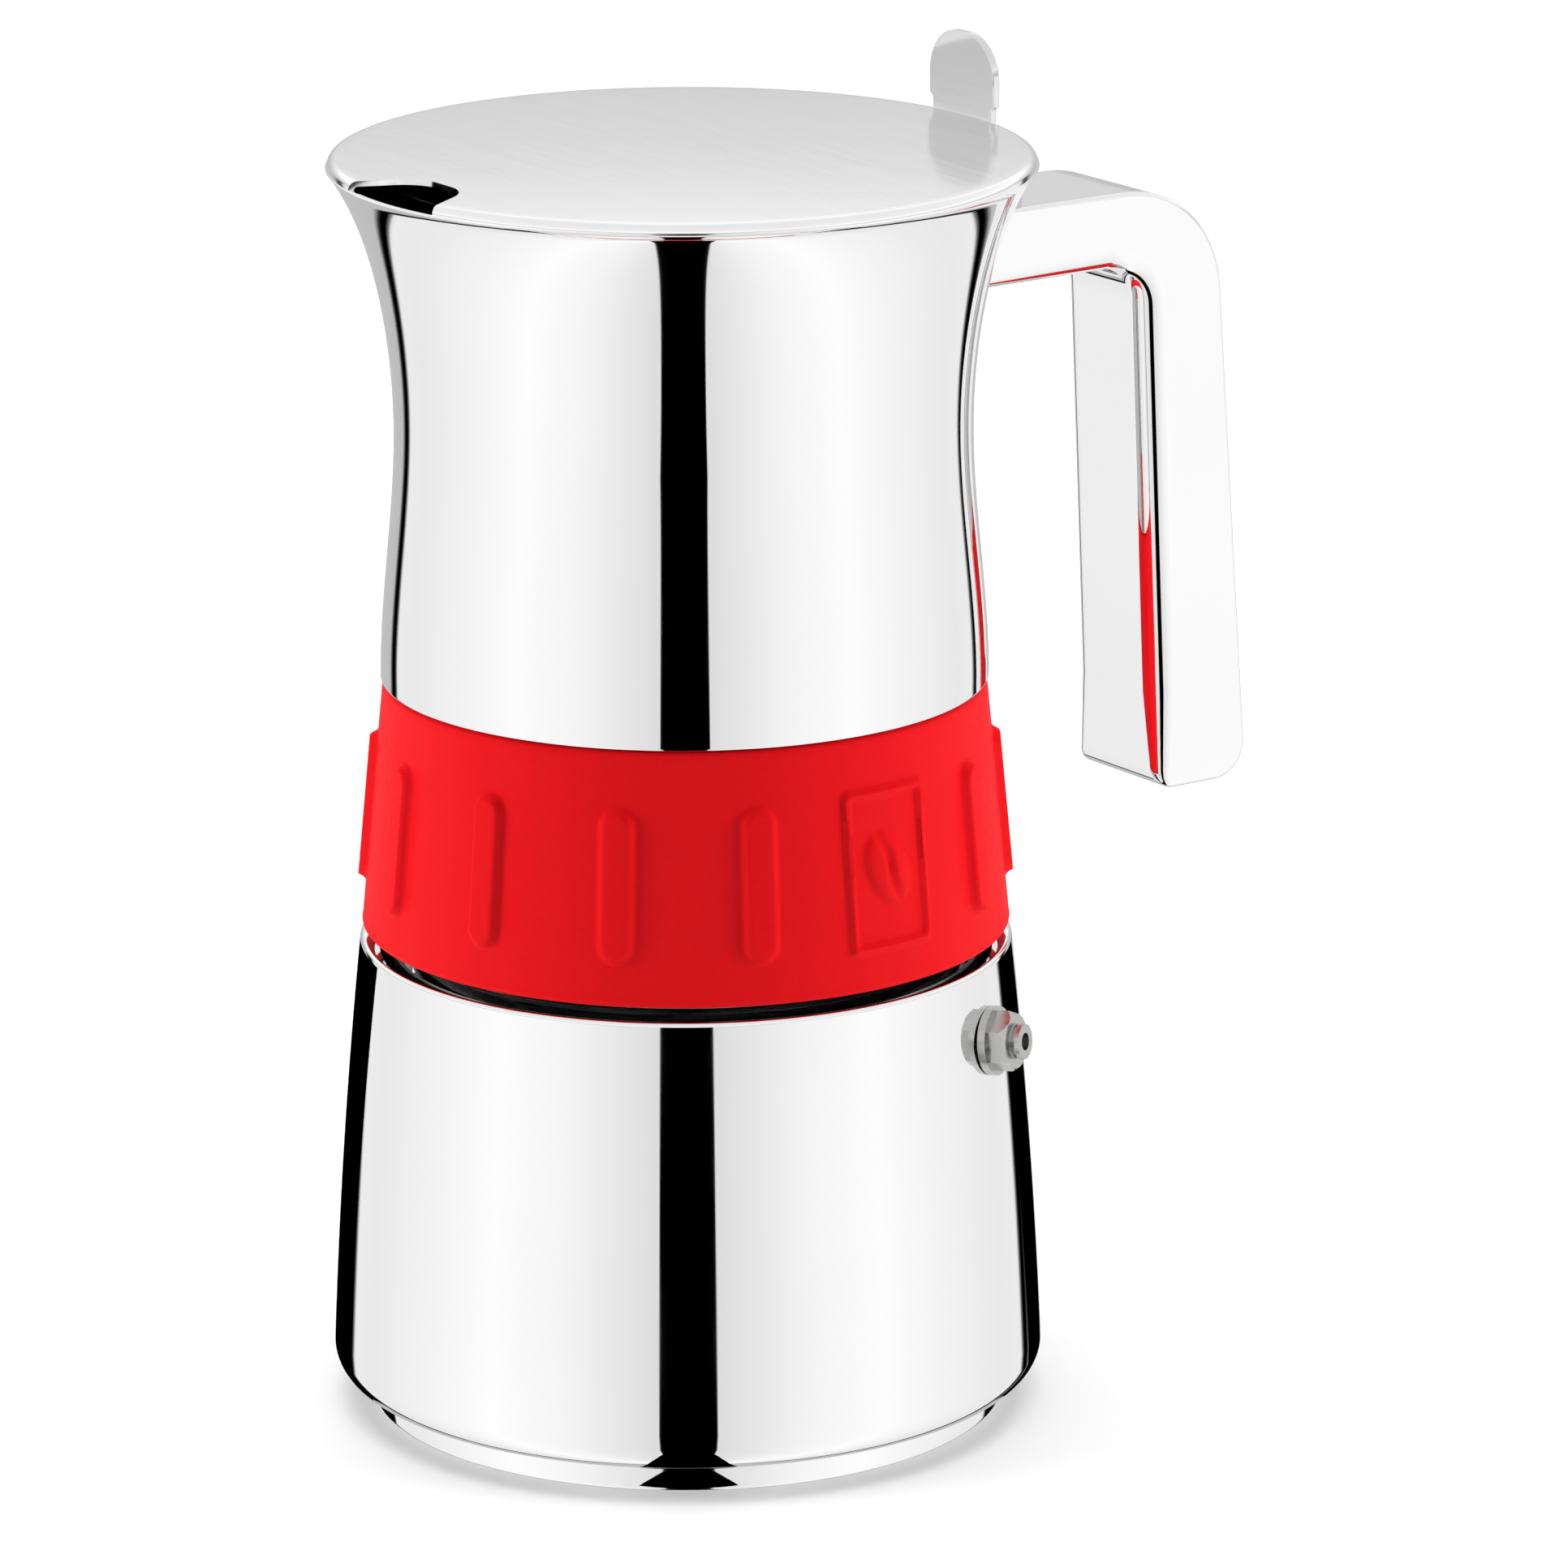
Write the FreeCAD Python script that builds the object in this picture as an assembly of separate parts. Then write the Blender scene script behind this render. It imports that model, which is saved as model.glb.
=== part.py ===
import FreeCAD, Part

import math
import os

from FreeCAD import Rotation, Vector

# Stove-top moka pot in stainless steel, in millimetres.
# Z is up, the origin is the centre of the foot's underside, the handle points to +X and
# the spout to -X. The pot is shown closed and screwed tight.

os.makedirs("parts", exist_ok=True)

UP = Vector(0, 0, 1)
ALONG_X = Vector(1, 0, 0)
ALONG_Y = Vector(0, 1, 0)
CENTRE = Vector(0, 0, 0)

# Boiler, the lower vessel
foot_inset = 5.8
foot_height = 4.4
foot_sheet = 0.6
base_radius = 53.0
base_corner = 4.0
side_taper = 4.6
shoulder_height = 71.6
shoulder_edge = 0.8
side_bulge = 0.5
boiler_wall = 1.0
shoulder_width = 7.2
neck_length = 14.4
neck_fillet = 1.5

# Screw thread between the two vessels, rolled with blunt crests
thread_pitch = 4.0
thread_turns = 2.0
thread_height = 1.1
thread_width = 1.9
thread_start = 4.0
crest_clearance = 0.3
crest_share = 0.5
thread_relief = 0.6
ridge_sink = 0.25

# Safety valve in the boiler's side
valve_bearing = -60.0
valve_drop = 11.1
valve_flange_overhang = 1.2
valve_flange_thickness = 1.2
valve_flange_lift = 0.02
valve_hex_flats = 8.0
valve_hex_length = 2.9
valve_hex_chamfer = 0.62
valve_nipple_radius = 2.6
valve_nipple_length = 1.4
valve_nipple_start_gap = 0.2
valve_groove_width = 0.5
valve_groove_depth = 0.5
valve_shank_radius = 3.9
valve_shank_length = 9.0
valve_chamber_radius = 2.5
valve_vent_radius = 1.3
valve_end_wall = 2.2
valve_travel = 2.0
valve_stem_radius = 0.8
valve_stem_margin = 0.2
valve_piston_length = 1.4
valve_seat_length = 1.6
valve_seat_bore = 1.2
valve_nut_wall = 1.6
valve_nut_length = 2.4
valve_seal_length = 1.2
valve_seal_overhang = 1.7
spring_wire = 0.5
spring_turns = 6
spring_side_gap = 0.15
spring_end_gap = 0.05
running_gap = 0.08
hole_gap = 0.1

# Funnel with the coffee basket
basket_gap = 4.2
basket_depth = 20.0
funnel_sheet = 0.7
funnel_flange_overhang = 0.4
funnel_cone_depth = 8.0
funnel_collar_length = 3.0
tube_radius = 4.6
tube_wall = 0.7
tube_floor_gap = 5.0
sieve_thickness = 0.6
sieve_hole_radius = 0.7
sieve_rings = 5
sieve_ring_step = 6.0

# Gasket and filter plate under the upper vessel
gasket_height = 3.4
gasket_inner_step = 1.0
gasket_outer_step = 0.6
filter_plate_thickness = 0.8
filter_plate_lift = 1.6
plate_gap = 0.3

# Collector, the upper vessel
collector_wall = 0.8
floor_thickness = 1.0
gap_to_shoulder = 2.0
band_height = 37.1
band_step_in = 0.4
band_taper = 3.5
band_thickness = 1.5
band_edge = 0.5
band_seat_gap = 0.02
body_foot_step = 0.3
waist_narrowing = 2.4
waist_rise = 37.8
rim_flare = 9.4
flare_height = 38.9
ledge_rise = 0.25
lip_rise = 0.3
ring_wall = 0.6

# Grip ribs and the blank badge on the band
rib_places = 14
rib_turn = -8.36
badge_place = 11
rib_length = 22.8
rib_width = 5.4
rib_proud = 1.2
rib_round = 0.7
rib_sink = 0.4
rib_drop = 8.1
badge_width = 15.0
badge_length = 24.0
badge_frame = 1.0
badge_proud = 0.7
badge_corner = 1.0
badge_window_corner = 0.7
bean_width = 7.6
bean_length = 11.6
bean_proud = 0.9
bean_lean = 24.0
bean_floor = 0.2
bean_groove = 0.8
bean_groove_share = 0.8

# Coffee column inside the collector
column_over_waist = 0.6
column_top_radius = 5.6
column_base_radius = 11.0
column_wall = 0.8
column_flare_height = 9.0
column_flare_bow = 1.6
column_bow_share = 0.45
outlet_width = 4.2
outlet_height = 6.0
outlet_drop = 1.5
column_cap_overhang = 1.2
column_cap_edge = 0.8
column_cap_rise = 2.2
floor_hole_lap = 3.0

# Lid with its notch over the spout
lid_rim_step = 0.2
lid_sheet = 0.8
lid_rise = 0.7
lid_edge = 1.35
notch_depth = 10.4
notch_floor_width = 11.5
notch_mouth_width = 23.4
notch_inner_round = 3.6

# Handle, a hollow hooked bar with a free lower end
handle_width = 21.0
handle_drop = 11.6
arm_depth = 12.0
grip_reach = 38.2
grip_outer_lean = 0.078
grip_inner_reach = 24.2
grip_inner_lean = 0.046
handle_length = 93.6
handle_bend = 18.0
handle_inner_bend = 6.0
handle_toe = 5.5
handle_heel = 3.0
handle_inner_round = 3.8
handle_hollow_corner = 0.5
handle_wall = 1.0
bracket_plate = 1.2
bracket_tongue_reach = 19.4
bracket_tongue_width = 12.0
bracket_side_gap = 0.5
bracket_end_gap = 1.0

# Lid hinge on top of the handle's arm
hinge_reach = 2.4
hinge_drop = 4.4
hinge_pin_radius = 1.5
hinge_pin_head_overhang = 0.7
hinge_pin_head = 0.7
hinge_gap = 8.4
ear_thickness = 1.5
ear_wall = 1.5
hinge_base = 1.2
hinge_base_lap = 2.2
knuckle_wall = 1.1
knuckle_gap = 0.05
knuckle_side_gap = 0.3
leaf_thickness = 1.2
leaf_rim_gap = 0.5
lever_width = 16.0
lever_height = 12.4
lever_neck = 0.8
lever_neck_height = 1.6
lever_setback = 0.1
lever_seat = 0.5
lever_round = 6.8

# How far a cutting tool runs past the face it cuts
past = 1.0

# Radii that follow from the sizes above
foot_radius = base_radius - foot_inset
shoulder_radius = base_radius - side_taper
neck_radius = shoulder_radius - shoulder_width
band_bottom_radius = shoulder_radius - band_step_in
band_top_radius = band_bottom_radius - band_taper
body_foot_radius = band_top_radius + body_foot_step
waist_radius = body_foot_radius - waist_narrowing
rim_radius = waist_radius + rim_flare
lid_radius = rim_radius - lid_rim_step
grip_outer_at_top = rim_radius + grip_reach
grip_inner_at_top = rim_radius + grip_inner_reach
valve_flange_radius = valve_shank_radius + valve_flange_overhang
valve_seal_radius = valve_shank_radius + valve_seal_overhang
valve_nut_flats = 2 * (valve_shank_radius + valve_nut_wall)
hinge_pin_head_radius = hinge_pin_radius + hinge_pin_head_overhang
ear_radius = hinge_pin_radius + ear_wall
knuckle_radius = hinge_pin_radius + knuckle_wall

# Heights that follow from the sizes above
neck_top = shoulder_height + neck_length
boiler_floor = foot_height + boiler_wall
neck_bore = neck_radius - boiler_wall
basket_radius = neck_bore - basket_gap
flange_top = neck_top + funnel_sheet
seat_height = flange_top + gasket_height
collector_floor = seat_height + floor_thickness
band_bottom = shoulder_height + gap_to_shoulder
band_top = band_bottom + band_height
lip_height = band_bottom + lip_rise
waist_height = band_top + waist_rise
rim_height = waist_height + flare_height
handle_top = rim_height - handle_drop
valve_height = shoulder_height - valve_drop
column_height = waist_height + column_over_waist - collector_floor
gasket_inner_radius = basket_radius - gasket_inner_step
gasket_outer_radius = neck_radius + gasket_outer_step
male_crest = neck_radius + thread_height
female_crest = male_crest + crest_clearance
female_root = female_crest + thread_relief
ring_radius = female_root + ring_wall
side_top = shoulder_height - shoulder_edge
side_bottom = foot_height + base_corner


def on_profile(step):
    return Vector(step[0], 0, step[1])


def closed_wire(steps, place=on_profile):
    """Joins (r, z) steps into a closed wire. A step of two points is an arc through the
    first to the second, and a step of more is a smooth curve through all of them."""
    here = place(steps[0])
    edges = []
    for step in steps[1:] + steps[:1]:
        if not isinstance(step[0], tuple):
            end = place(step)
            if end.distanceToPoint(here) > 1e-6:
                edges.append(Part.LineSegment(here, end).toShape())
        elif len(step) == 2:
            end = place(step[1])
            edges.append(Part.Arc(here, place(step[0]), end).toShape())
        else:
            end = place(step[-1])
            curve = Part.BSplineCurve()
            curve.interpolate([here] + [place(point) for point in step])
            edges.append(curve.toShape())
        here = end
    return Part.Wire(edges)


def turned(steps):
    """A solid of revolution about Z from a closed (r, z) outline."""
    return Part.Face(closed_wire(steps)).revolve(CENTRE, UP, 360)


def tube(inner, outer, low, high):
    return turned([(inner, low), (outer, low), (outer, high), (inner, high)])


def corner(centre_r, centre_z, radius, start, end):
    """Middle and end points of a round corner, its angles in degrees from +r."""
    points = []
    for angle in ((start + end) / 2, end):
        turn = math.radians(angle)
        points.append((centre_r + radius * math.cos(turn), centre_z + radius * math.sin(turn)))
    return tuple(points)


def dome_middle(rim_r, rim_z, rise):
    """The middle point of a dome's arc from its rim to its crown on the axis."""
    radius = (rim_r**2 + rise**2) / (2 * rise)
    half = math.asin(rim_r / radius) / 2
    return (radius * math.sin(half), rim_z + rise - radius * (1 - math.cos(half)))


def slab(x_low, x_high, width, z_low, z_high):
    corner_point = Vector(x_low, -width / 2, z_low)
    return Part.makeBox(x_high - x_low, width, z_high - z_low, corner_point)


def hexagon(flats, length, start):
    """A hexagonal bar along X with two corners up and down."""
    reach = flats / math.sqrt(3)
    points = []
    for step in range(7):
        angle = math.radians(90 + 60 * step)
        points.append(Vector(start, reach * math.cos(angle), reach * math.sin(angle)))
    return Part.Face(Part.makePolygon(points)).extrude(Vector(length, 0, 0))


def rod(radius, start, end):
    """A round bar along X."""
    return Part.makeCylinder(radius, end - start, Vector(start, 0, 0), ALONG_X)


def helix_ridge(root, crest, start, turns):
    """A blunt thread ridge, its root sunk a little into the wall it is rolled from."""
    foot = root - ridge_sink if root < crest else root + ridge_sink
    half = thread_width / 2
    flat = half * crest_share
    steps = [(foot, start - half), (crest, start - flat)]
    steps += [(crest, start + flat), (foot, start + half)]
    path = Part.Wire(Part.makeHelix(thread_pitch, thread_pitch * turns, root))
    path.translate(Vector(0, 0, start))
    return path.makePipeShell([closed_wire(steps)], True, True)


def sheet_holes(low, high):
    """The sieve's small punched holes, in rings of six, twelve, eighteen and so on."""
    holes = [Part.makeCylinder(sieve_hole_radius, high - low, Vector(0, 0, low))]
    for ring in range(1, sieve_rings + 1):
        out = Vector(ring * sieve_ring_step, 0, low)
        for index in range(6 * ring):
            place = Rotation(UP, 60 * index / ring).multVec(out)
            holes.append(Part.makeCylinder(sieve_hole_radius, high - low, place))
    return Part.makeCompound(holes)


# ---------------------------------------------------------------- boiler


def side_radius(height):
    """Radius of the boiler's slightly bulged side at a height."""
    share = (height - side_bottom) / (side_top - side_bottom)
    straight = base_radius + (shoulder_radius - base_radius) * share
    return straight + 4 * side_bulge * share * (1 - share)


def boiler_outline(inset):
    """The boiler's outline, set in by its wall for the inside."""
    edge = shoulder_edge - inset
    bottom_corner = base_corner - inset
    middle = (side_bottom + side_top) / 2
    neck_corner = neck_fillet + inset
    shoulder = shoulder_height - inset
    neck = neck_radius - inset
    steps = [(0, foot_height + inset), (base_radius - base_corner, foot_height + inset)]
    steps.append(corner(base_radius - base_corner, side_bottom, bottom_corner, -90, 0))
    steps.append(((side_radius(middle) - inset, middle), (shoulder_radius - inset, side_top)))
    steps.append(corner(shoulder_radius - shoulder_edge, side_top, edge, 0, 90))
    steps.append((neck + neck_corner, shoulder))
    steps.append(corner(neck + neck_corner, shoulder + neck_corner, neck_corner, 270, 180))
    steps += [(neck, neck_top), (0, neck_top)]
    return steps


def valve_placement():
    """Where the valve's own X axis leaves the wall, square to the sloping side."""
    half = valve_shank_radius / 2
    rise = side_radius(valve_height + half) - side_radius(valve_height - half)
    tilt = math.degrees(math.atan2(-rise, 2 * half))
    turn = Rotation(UP, valve_bearing).multiply(Rotation(ALONG_Y, -tilt))
    out = Rotation(UP, valve_bearing).multVec(ALONG_X)
    return FreeCAD.Placement(out * side_radius(valve_height) + UP * valve_height, turn)


def on_valve_axis(shape):
    shape.Placement = valve_placement()
    return shape


def make_boiler_shell():
    outer = turned(boiler_outline(0))
    inside = turned(boiler_outline(boiler_wall))
    ridge = helix_ridge(neck_radius, male_crest, shoulder_height + thread_start, thread_turns)
    hole = on_valve_axis(rod(valve_shank_radius + hole_gap, -valve_shank_length, past))
    return outer.cut(inside).fuse(ridge).cut(hole).removeSplitter()


def make_base_disc():
    return tube(0, foot_radius - foot_sheet, foot_sheet, foot_height)


def make_base_cap():
    outer = tube(0, foot_radius, 0, foot_height)
    rounds = [edge for edge in outer.Edges if edge.Length > foot_height]
    low_edge = [edge for edge in rounds if edge.BoundBox.ZMax < foot_sheet]
    outer = outer.makeFillet(foot_sheet, low_edge)
    return outer.cut(tube(0, foot_radius - foot_sheet, foot_sheet, foot_height + past))


# ---------------------------------------------------------------- safety valve

hex_start = valve_flange_thickness
nipple_start = hex_start + valve_hex_length
valve_nose = nipple_start + valve_nipple_length
chamber_end = valve_nose - valve_end_wall
seat_end = valve_seat_length - valve_shank_length
seal_face = -boiler_wall - valve_seal_radius**2 / (2 * (side_radius(valve_height) - boiler_wall))
piston_radius = valve_chamber_radius - running_gap
spring_start = seat_end + valve_piston_length
spring_radius = valve_chamber_radius - spring_wire / 2 - spring_side_gap


def make_valve_body():
    flange = rod(valve_flange_radius, valve_flange_lift, hex_start)
    shank = rod(valve_shank_radius, -valve_shank_length, hex_start)
    nut = hexagon(valve_hex_flats, valve_hex_length, hex_start)
    hex_inner = valve_hex_flats / 2
    cone_root = hex_inner + valve_hex_length * valve_hex_chamfer
    chamfer = Part.makeCone(cone_root, hex_inner, valve_hex_length, Vector(hex_start, 0, 0), ALONG_X)
    nipple = rod(valve_nipple_radius, nipple_start, valve_nose)
    groove_low = nipple_start + valve_nipple_start_gap
    groove = rod(valve_nipple_radius + past, groove_low, groove_low + valve_groove_width)
    groove = groove.cut(rod(valve_nipple_radius - valve_groove_depth, nipple_start, valve_nose))
    body = flange.fuse(shank).fuse(nut.common(chamfer)).fuse(nipple).cut(groove)
    body = body.cut(rod(valve_chamber_radius, -valve_shank_length - past, chamber_end))
    body = body.cut(rod(valve_vent_radius, 0, valve_nose + past))
    return on_valve_axis(body.removeSplitter())


def make_valve_seat():
    seat = rod(valve_chamber_radius, -valve_shank_length, seat_end)
    return on_valve_axis(seat.cut(rod(valve_seat_bore, -valve_shank_length - past, seat_end + past)))


def make_valve_piston():
    head = rod(piston_radius, seat_end, spring_start)
    stem_end = valve_nose - valve_travel - valve_stem_margin
    return on_valve_axis(head.fuse(rod(valve_stem_radius, seat_end, stem_end)))


def make_valve_spring():
    length = chamber_end - spring_start - spring_wire - 2 * spring_end_gap
    coil = Part.Wire(Part.makeHelix(length / spring_turns, length, spring_radius))
    section = Part.Circle(Vector(spring_radius, 0, 0), ALONG_Y, spring_wire / 2).toShape()
    spring = coil.makePipeShell([Part.Wire(section)], True, True)
    spring.rotate(CENTRE, ALONG_Y, 90)
    spring.translate(Vector(spring_start + spring_wire / 2 + spring_end_gap, 0, 0))
    return spring.transformGeometry(valve_placement().toMatrix())


def make_valve_seal():
    start = seal_face - valve_seal_length
    ring = rod(valve_seal_radius, start, seal_face)
    return on_valve_axis(ring.cut(rod(valve_shank_radius + hole_gap, start - past, 0)))


def make_valve_nut():
    start = seal_face - valve_seal_length - valve_nut_length
    nut = hexagon(valve_nut_flats, valve_nut_length, start)
    return on_valve_axis(nut.cut(rod(valve_shank_radius, start - past, 0)))


# ---------------------------------------------------------------- funnel

flange_radius = neck_radius + funnel_flange_overhang
basket_bottom = neck_top - basket_depth
cone_bottom = basket_bottom - funnel_cone_depth
tube_bottom = boiler_floor + tube_floor_gap


def make_funnel_basket():
    inner = basket_radius - funnel_sheet
    collar = tube_radius + funnel_sheet
    collar_bottom = cone_bottom - funnel_collar_length
    steps = [(collar, cone_bottom), (basket_radius, basket_bottom), (basket_radius, neck_top)]
    steps += [(flange_radius, neck_top), (flange_radius, flange_top), (inner, flange_top)]
    steps += [(inner, basket_bottom), (tube_radius, cone_bottom + funnel_sheet / 2)]
    steps += [(tube_radius, collar_bottom), (collar, collar_bottom)]
    return turned(steps)


def make_funnel_sieve():
    top = basket_bottom + sieve_thickness
    plate = tube(0, basket_radius - funnel_sheet, basket_bottom, top)
    return plate.cut(sheet_holes(basket_bottom - past, top + past))


def make_funnel_tube():
    top = cone_bottom + funnel_sheet / 2
    return tube(tube_radius - tube_wall, tube_radius, tube_bottom, top)


# ---------------------------------------------------------------- gasket and filter plate


def make_gasket():
    return tube(gasket_inner_radius, gasket_outer_radius, flange_top, seat_height)


def make_filter_plate():
    low = flange_top + filter_plate_lift
    high = low + filter_plate_thickness
    plate = tube(0, gasket_inner_radius - plate_gap, low, high)
    return plate.cut(sheet_holes(low - past, high + past))


# ---------------------------------------------------------------- collector


def band_radius(height):
    """Radius of the tapered band's outside at a height."""
    share = (height - band_bottom) / band_height
    return band_bottom_radius + (band_top_radius - band_bottom_radius) * share


def body_side(inset):
    """The waisted side from the band up to the rim, set in by the wall."""
    rise = waist_height - band_top
    flare = rim_height - waist_height
    fall = body_foot_radius - waist_radius
    spread = rim_radius - waist_radius
    points = [
        (body_foot_radius - 0.10 * fall, band_top + 0.16 * rise),
        (waist_radius + 0.46 * fall, band_top + 0.49 * rise),
        (waist_radius + 0.06 * fall, band_top + 0.80 * rise),
        (waist_radius, waist_height),
        (waist_radius + 0.075 * spread, waist_height + 0.32 * flare),
        (waist_radius + 0.270 * spread, waist_height + 0.57 * flare),
        (waist_radius + 0.575 * spread, waist_height + 0.81 * flare),
        (rim_radius, rim_height),
    ]
    return [(radius - inset, height) for radius, height in points]


def collector_outline(inset):
    """The upper vessel's outline down to its lower lip, with the band's seat rolled in."""
    seat_top = band_radius(band_top) - band_thickness - inset
    seat_bottom = band_radius(lip_height) - band_thickness - inset
    steps = [(0, lip_height), (seat_bottom, lip_height), (seat_top, band_top + inset * 0.3)]
    steps.append((body_foot_radius - inset, band_top + ledge_rise + inset * 1.1))
    steps.append(tuple(body_side(inset)))
    steps.append((0, rim_height))
    return steps


def collector_solid():
    return turned(collector_outline(0))


def collector_void():
    return turned(collector_outline(collector_wall))


def make_collector_shell():
    shell = collector_solid().cut(collector_void())
    lip_outer = band_radius(lip_height) - band_thickness - collector_wall / 2
    lip = tube(ring_radius, lip_outer, lip_height, lip_height + collector_wall)
    return shell.fuse(lip.common(collector_solid())).removeSplitter()


def make_collector_floor():
    wide = tube(column_base_radius - floor_hole_lap, base_radius, seat_height, collector_floor)
    return wide.common(collector_void())


def make_thread_ring():
    ring = tube(female_root, ring_radius, lip_height, seat_height)
    start = shoulder_height + thread_start + thread_pitch / 2
    ridge = helix_ridge(female_root, female_crest, start, thread_turns)
    return ring.fuse(ridge).removeSplitter()


def make_column():
    low = collector_floor
    top = low + column_height
    wall = column_wall
    neck = low + column_flare_height
    bow = column_top_radius + column_flare_bow
    bow_height = low + column_flare_height * column_bow_share
    steps = [(column_base_radius - wall, low), (column_base_radius, low)]
    steps.append(((bow, bow_height), (column_top_radius, neck)))
    steps += [(column_top_radius, top), (column_top_radius - wall, top)]
    steps.append((column_top_radius - wall, neck))
    steps.append(((bow - wall, bow_height), (column_base_radius - wall, low)))
    column = turned(steps)
    outlet_top = top - outlet_drop
    reach = column_top_radius + past
    slot = slab(-reach, reach, outlet_width, outlet_top - outlet_height, outlet_top)
    slot.rotate(CENTRE, UP, 90)
    return column.cut(slot)


def make_column_cap():
    top = collector_floor + column_height
    brim = column_top_radius + column_cap_overhang
    edge_top = top + column_cap_edge
    crown = (0, edge_top + column_cap_rise)
    middle = dome_middle(brim, edge_top, column_cap_rise)
    return turned([(0, top), (brim, top), (brim, edge_top), (middle, crown)])


# ---------------------------------------------------------------- silicone band


def band_ring(proud, low, high):
    """A ring that stands proud of the band's outside between two heights."""
    steps = [(band_radius(low) - rib_sink, low), (band_radius(low) + proud, low)]
    steps += [(band_radius(high) + proud, high), (band_radius(high) - rib_sink, high)]
    return turned(steps)


def upright_plate(width, height, low, rounding):
    """A plate across the +X radius, with rounded corners, cut from the band's zone."""
    plate = slab(waist_radius / 2, base_radius, width, low, low + height)
    long_edges = [edge for edge in plate.Edges if abs(edge.tangentAt(edge.FirstParameter).x) > 0.9]
    return plate.makeFillet(rounding, long_edges)


def make_rib():
    low = band_top - rib_drop - rib_length
    blank = upright_plate(rib_width, rib_length, low, rib_width / 2 - 0.01)
    rib = blank.common(band_ring(rib_proud, low - past, low + rib_length + past))
    face = max(rib.Faces, key=lambda item: item.CenterOfMass.x)
    return rib.makeFillet(rib_round, face.Edges)


def make_badge():
    """A blank raised frame with a plain coffee bean, in place of any mark."""
    centre = band_top - rib_drop - rib_length / 2
    low = centre - badge_length / 2
    high = centre + badge_length / 2
    blank = upright_plate(badge_width, badge_length, low, badge_corner)
    frame = blank.common(band_ring(badge_proud, low - past, high + past))
    window_width = badge_width - 2 * badge_frame
    window_length = badge_length - 2 * badge_frame
    window = upright_plate(window_width, window_length, low + badge_frame, badge_window_corner)
    frame = frame.cut(window)
    start = Vector(waist_radius / 2, 0, centre)
    oval = Part.Ellipse(start, bean_length / 2, bean_width / 2).toShape()
    oval.rotate(start, ALONG_Y, 90)
    bean = Part.Face(Part.Wire(oval)).extrude(Vector(base_radius, 0, 0))
    bean = bean.common(band_ring(bean_proud, low, high))
    groove_half = bean_length * bean_groove_share / 2
    groove = slab(0, base_radius, bean_groove, centre - groove_half, centre + groove_half)
    groove = groove.common(band_ring(bean_proud + past, low, high))
    floor = turned([
        (0, low), (band_radius(low) + bean_floor, low), (band_radius(high) + bean_floor, high), (0, high)])
    bean = bean.cut(groove.cut(floor))
    bean.rotate(Vector(0, 0, centre), ALONG_X, bean_lean)
    return frame, bean


def make_silicone_band():
    seat = band_thickness - band_seat_gap
    low_edge = band_radius(band_bottom) - band_edge
    high_edge = band_radius(band_top) - band_edge
    steps = [(band_radius(band_bottom) - seat, band_bottom), (low_edge, band_bottom)]
    steps.append(corner(low_edge, band_bottom + band_edge, band_edge, -90, 0))
    steps.append((band_radius(band_top - band_edge), band_top - band_edge))
    steps.append(corner(high_edge, band_top - band_edge, band_edge, 0, 90))
    steps.append((band_radius(band_top) - seat, band_top))
    band = turned(steps).cut(collector_solid())
    rib = make_rib()
    frame, bean = make_badge()
    pieces = []
    for place in range(rib_places):
        angle = rib_turn + 360 * place / rib_places
        for piece in ([frame, bean] if place == badge_place else [rib]):
            turned_piece = piece.copy()
            turned_piece.rotate(CENTRE, UP, angle)
            pieces.append(turned_piece)
    return band.fuse(pieces).removeSplitter()


# ---------------------------------------------------------------- lid

lid_low = rim_height
lid_crown = lid_low + lid_edge + lid_rise
hinge_x = rim_radius + hinge_reach
hinge_z = rim_height - hinge_drop


def make_lid():
    shoulder = lid_radius - lid_edge
    inner = lid_edge - lid_sheet
    middle_r, middle_z = dome_middle(shoulder, lid_low + lid_edge, lid_rise)
    steps = [(0, lid_crown), ((middle_r, middle_z), (shoulder, lid_low + lid_edge))]
    steps.append(corner(shoulder, lid_low, lid_edge, 90, 0))
    steps.append((lid_radius - lid_sheet, lid_low))
    steps.append(corner(shoulder, lid_low, inner, 0, 90))
    steps.append(((middle_r, middle_z - lid_sheet), (0, lid_crown - lid_sheet)))
    lid = turned(steps)
    floor_x = notch_depth - lid_radius
    mouth_x = floor_x - notch_depth - past
    widening = (notch_mouth_width - notch_floor_width) / notch_depth
    floor_half = notch_floor_width / 2
    mouth_half = floor_half + widening * (notch_depth + past) / 2
    low = lid_low - past
    points = [Vector(floor_x, -floor_half, low), Vector(mouth_x, -mouth_half, low)]
    points += [Vector(mouth_x, mouth_half, low), Vector(floor_x, floor_half, low)]
    points.append(points[0])
    height = lid_crown - lid_low + 2 * past
    wedge = Part.Face(Part.makePolygon(points)).extrude(Vector(0, 0, height))
    upright = [edge for edge in wedge.Edges if abs(edge.tangentAt(edge.FirstParameter).z) > 0.9]
    inner_edges = [edge for edge in upright if edge.CenterOfMass.x > floor_x - past]
    return lid.cut(wedge.makeFillet(notch_inner_round, inner_edges))


# ---------------------------------------------------------------- handle


def grip_outer(height):
    return grip_outer_at_top + grip_outer_lean * (handle_top - height)


def grip_inner(height):
    return grip_inner_at_top + grip_inner_lean * (handle_top - height)


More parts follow.
